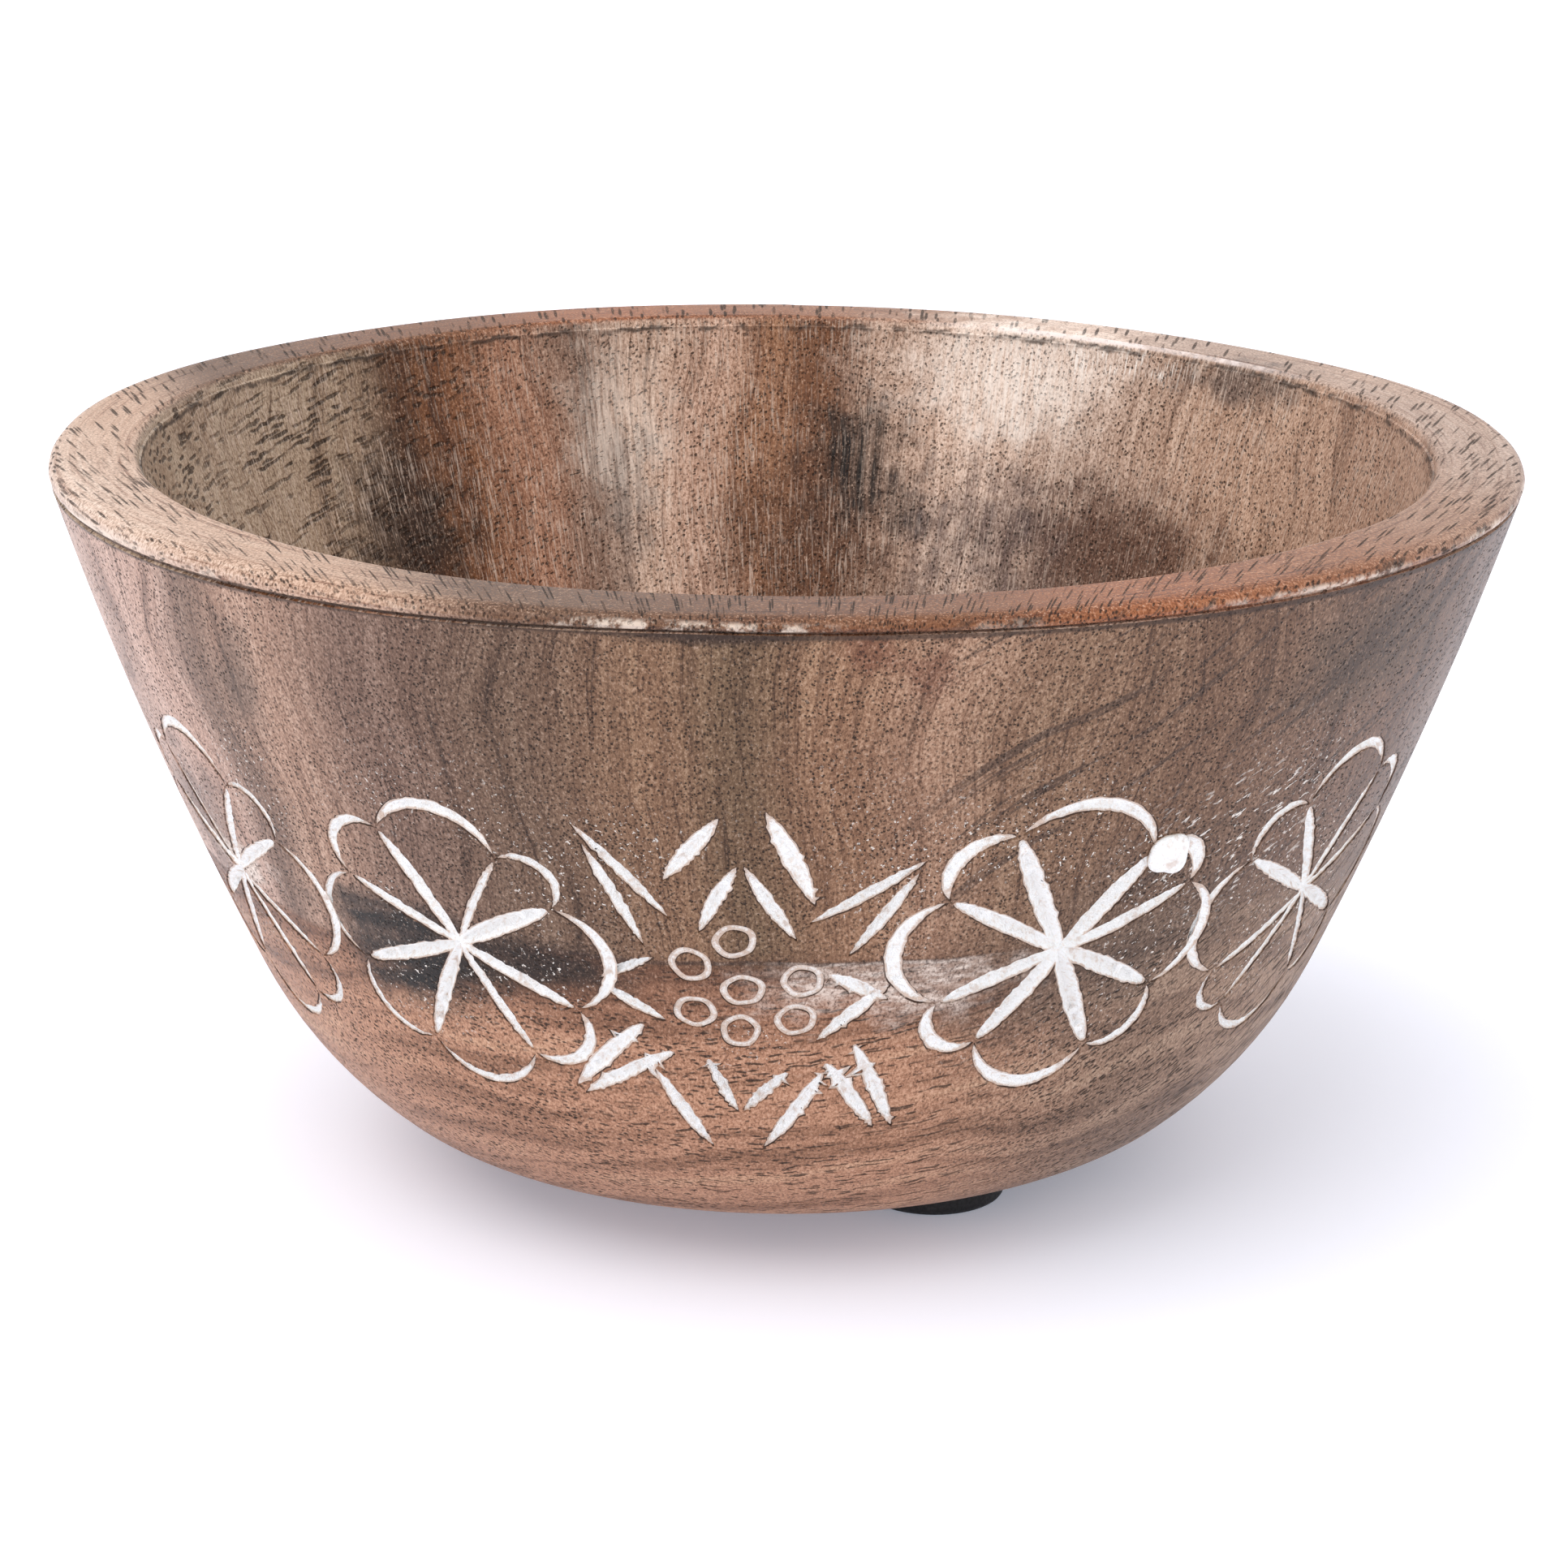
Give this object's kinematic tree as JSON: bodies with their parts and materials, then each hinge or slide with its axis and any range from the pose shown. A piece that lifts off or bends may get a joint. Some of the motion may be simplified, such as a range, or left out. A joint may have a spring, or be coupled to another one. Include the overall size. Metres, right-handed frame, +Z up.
{
  "type": "carved wooden bowl",
  "caption": "Round turned wooden bowl with flared thick walls, a carved and white-painted band of flowers and bursts, on small rubber feet.",
  "frame": {"origin": "on the table, on the bowl's axis, midway between the feet", "axes": "+Z up along the bowl's axis; the middle of the carved front faces -Y"},
  "size_m": [0.1526, 0.1526, 0.0763],
  "materials": {
    "wood": "satin",
    "white_paint": "matte",
    "adhesive": "matte",
    "foot_rubber": "matte"
  },
  "bodies": {
    "root": {"bowl_body": "wood", "flower_paint_1": "white_paint", "flower_paint_2": "white_paint", "flower_paint_3": "white_paint", "flower_paint_4": "white_paint", "flower_paint_5": "white_paint", "flower_paint_6": "white_paint", "flower_paint_7": "white_paint", "flower_paint_8": "white_paint", "burst_paint_1": "white_paint", "burst_paint_2": "white_paint", "burst_paint_3": "white_paint", "burst_paint_4": "white_paint", "ring_paint_1": "white_paint", "ring_paint_2": "white_paint", "ring_paint_3": "white_paint", "ring_paint_4": "white_paint", "paint_blob": "white_paint", "foot_adhesive_1": "adhesive", "foot_adhesive_2": "adhesive", "foot_adhesive_3": "adhesive", "foot_1": "foot_rubber", "foot_2": "foot_rubber", "foot_3": "foot_rubber"}
  },
  "joints": []
}
